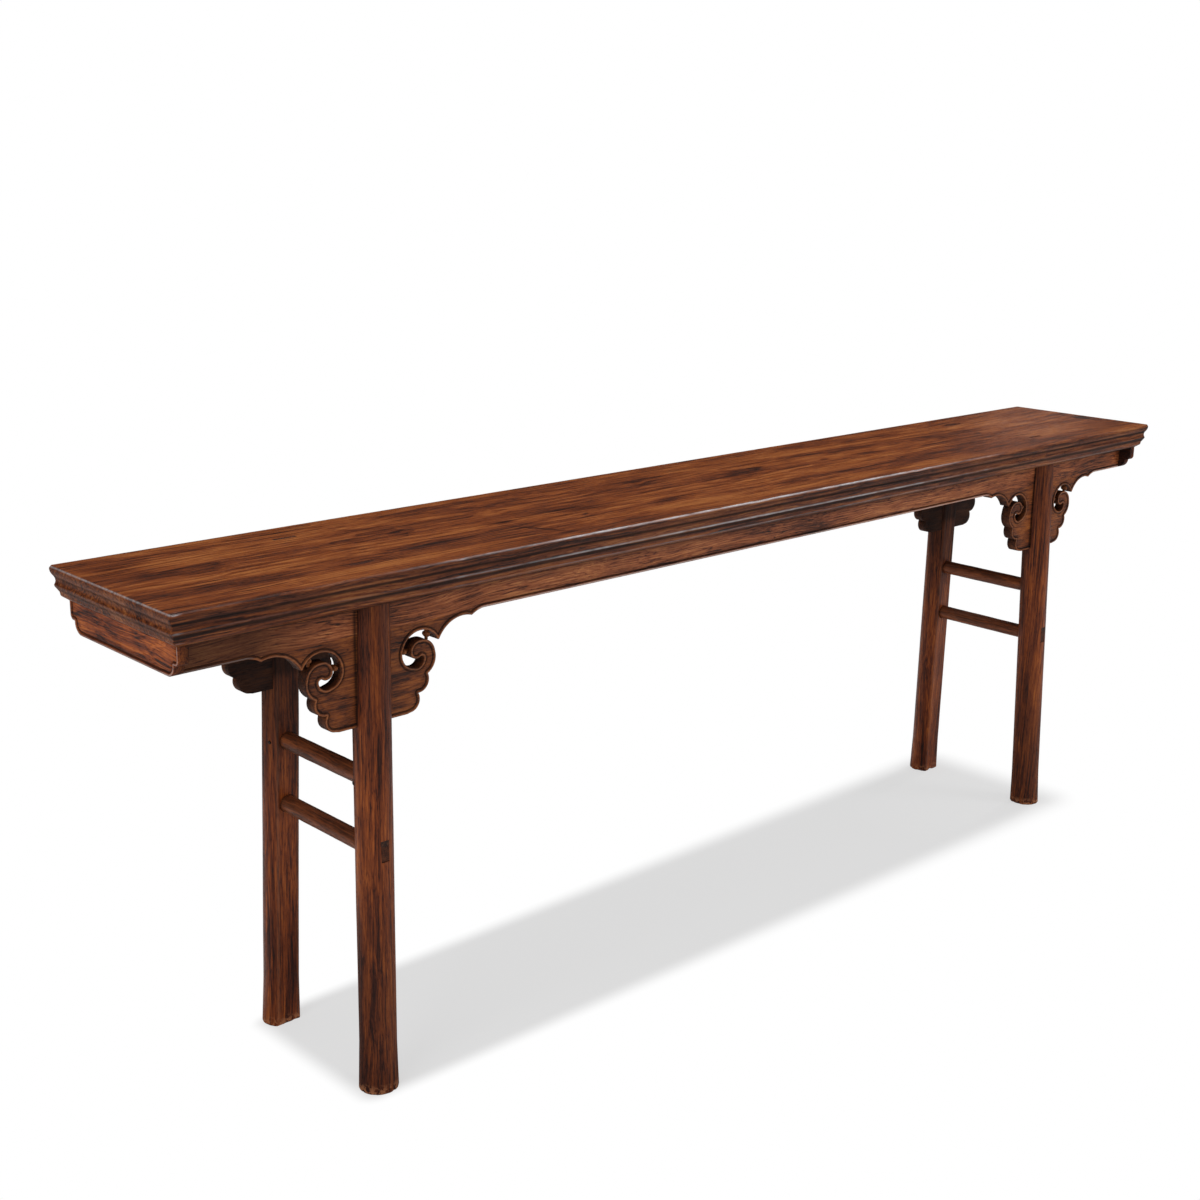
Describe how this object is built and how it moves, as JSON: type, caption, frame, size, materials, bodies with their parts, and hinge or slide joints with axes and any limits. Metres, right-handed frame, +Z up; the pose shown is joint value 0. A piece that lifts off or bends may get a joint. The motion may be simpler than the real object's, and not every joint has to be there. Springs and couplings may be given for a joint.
{
  "type": "chinese altar table",
  "caption": "Long narrow altar table with recessed splayed legs, a moulded plank top, plain aprons, carved openwork cloud spandrels and round side stretchers",
  "frame": {"origin": "on the floor, under the middle of the table", "axes": "X along the table, Y across it with the front at -Y, Z up"},
  "size_m": [2.6, 0.368, 0.88],
  "materials": {
    "top_wood": "worn dark lacquer over figured red-brown wood, satin",
    "frame_wood": "worn dark red-brown lacquer, satin",
    "leg_wood": "worn dark red-brown lacquer with lighter orange streaks, satin",
    "carved_wood": "worn dark red-brown lacquer, darker in the carving",
    "peg_wood": "bare dark end grain"
  },
  "bodies": {
    "root": {"top_board": "top_wood", "batten_left": "frame_wood", "batten_centre": "frame_wood", "batten_right": "frame_wood", "front_apron": "frame_wood", "back_apron": "frame_wood", "left_end_board": "frame_wood", "right_end_board": "frame_wood", "leg_front_left": "leg_wood", "leg_front_right": "leg_wood", "leg_back_left": "leg_wood", "leg_back_right": "leg_wood", "spandrel_front_left_inner": "carved_wood", "spandrel_front_left_outer": "carved_wood", "spandrel_front_right_inner": "carved_wood", "spandrel_front_right_outer": "carved_wood", "spandrel_back_left_inner": "carved_wood", "spandrel_back_left_outer": "carved_wood", "spandrel_back_right_inner": "carved_wood", "spandrel_back_right_outer": "carved_wood", "stretcher_left_upper": "leg_wood", "stretcher_left_lower": "leg_wood", "stretcher_right_upper": "leg_wood", "stretcher_right_lower": "leg_wood", "peg_front_left": "peg_wood", "peg_front_right": "peg_wood", "peg_back_left": "peg_wood", "peg_back_right": "peg_wood", "wedge_front_left": "peg_wood", "wedge_front_right": "peg_wood", "wedge_back_left": "peg_wood", "wedge_back_right": "peg_wood"}
  },
  "joints": []
}
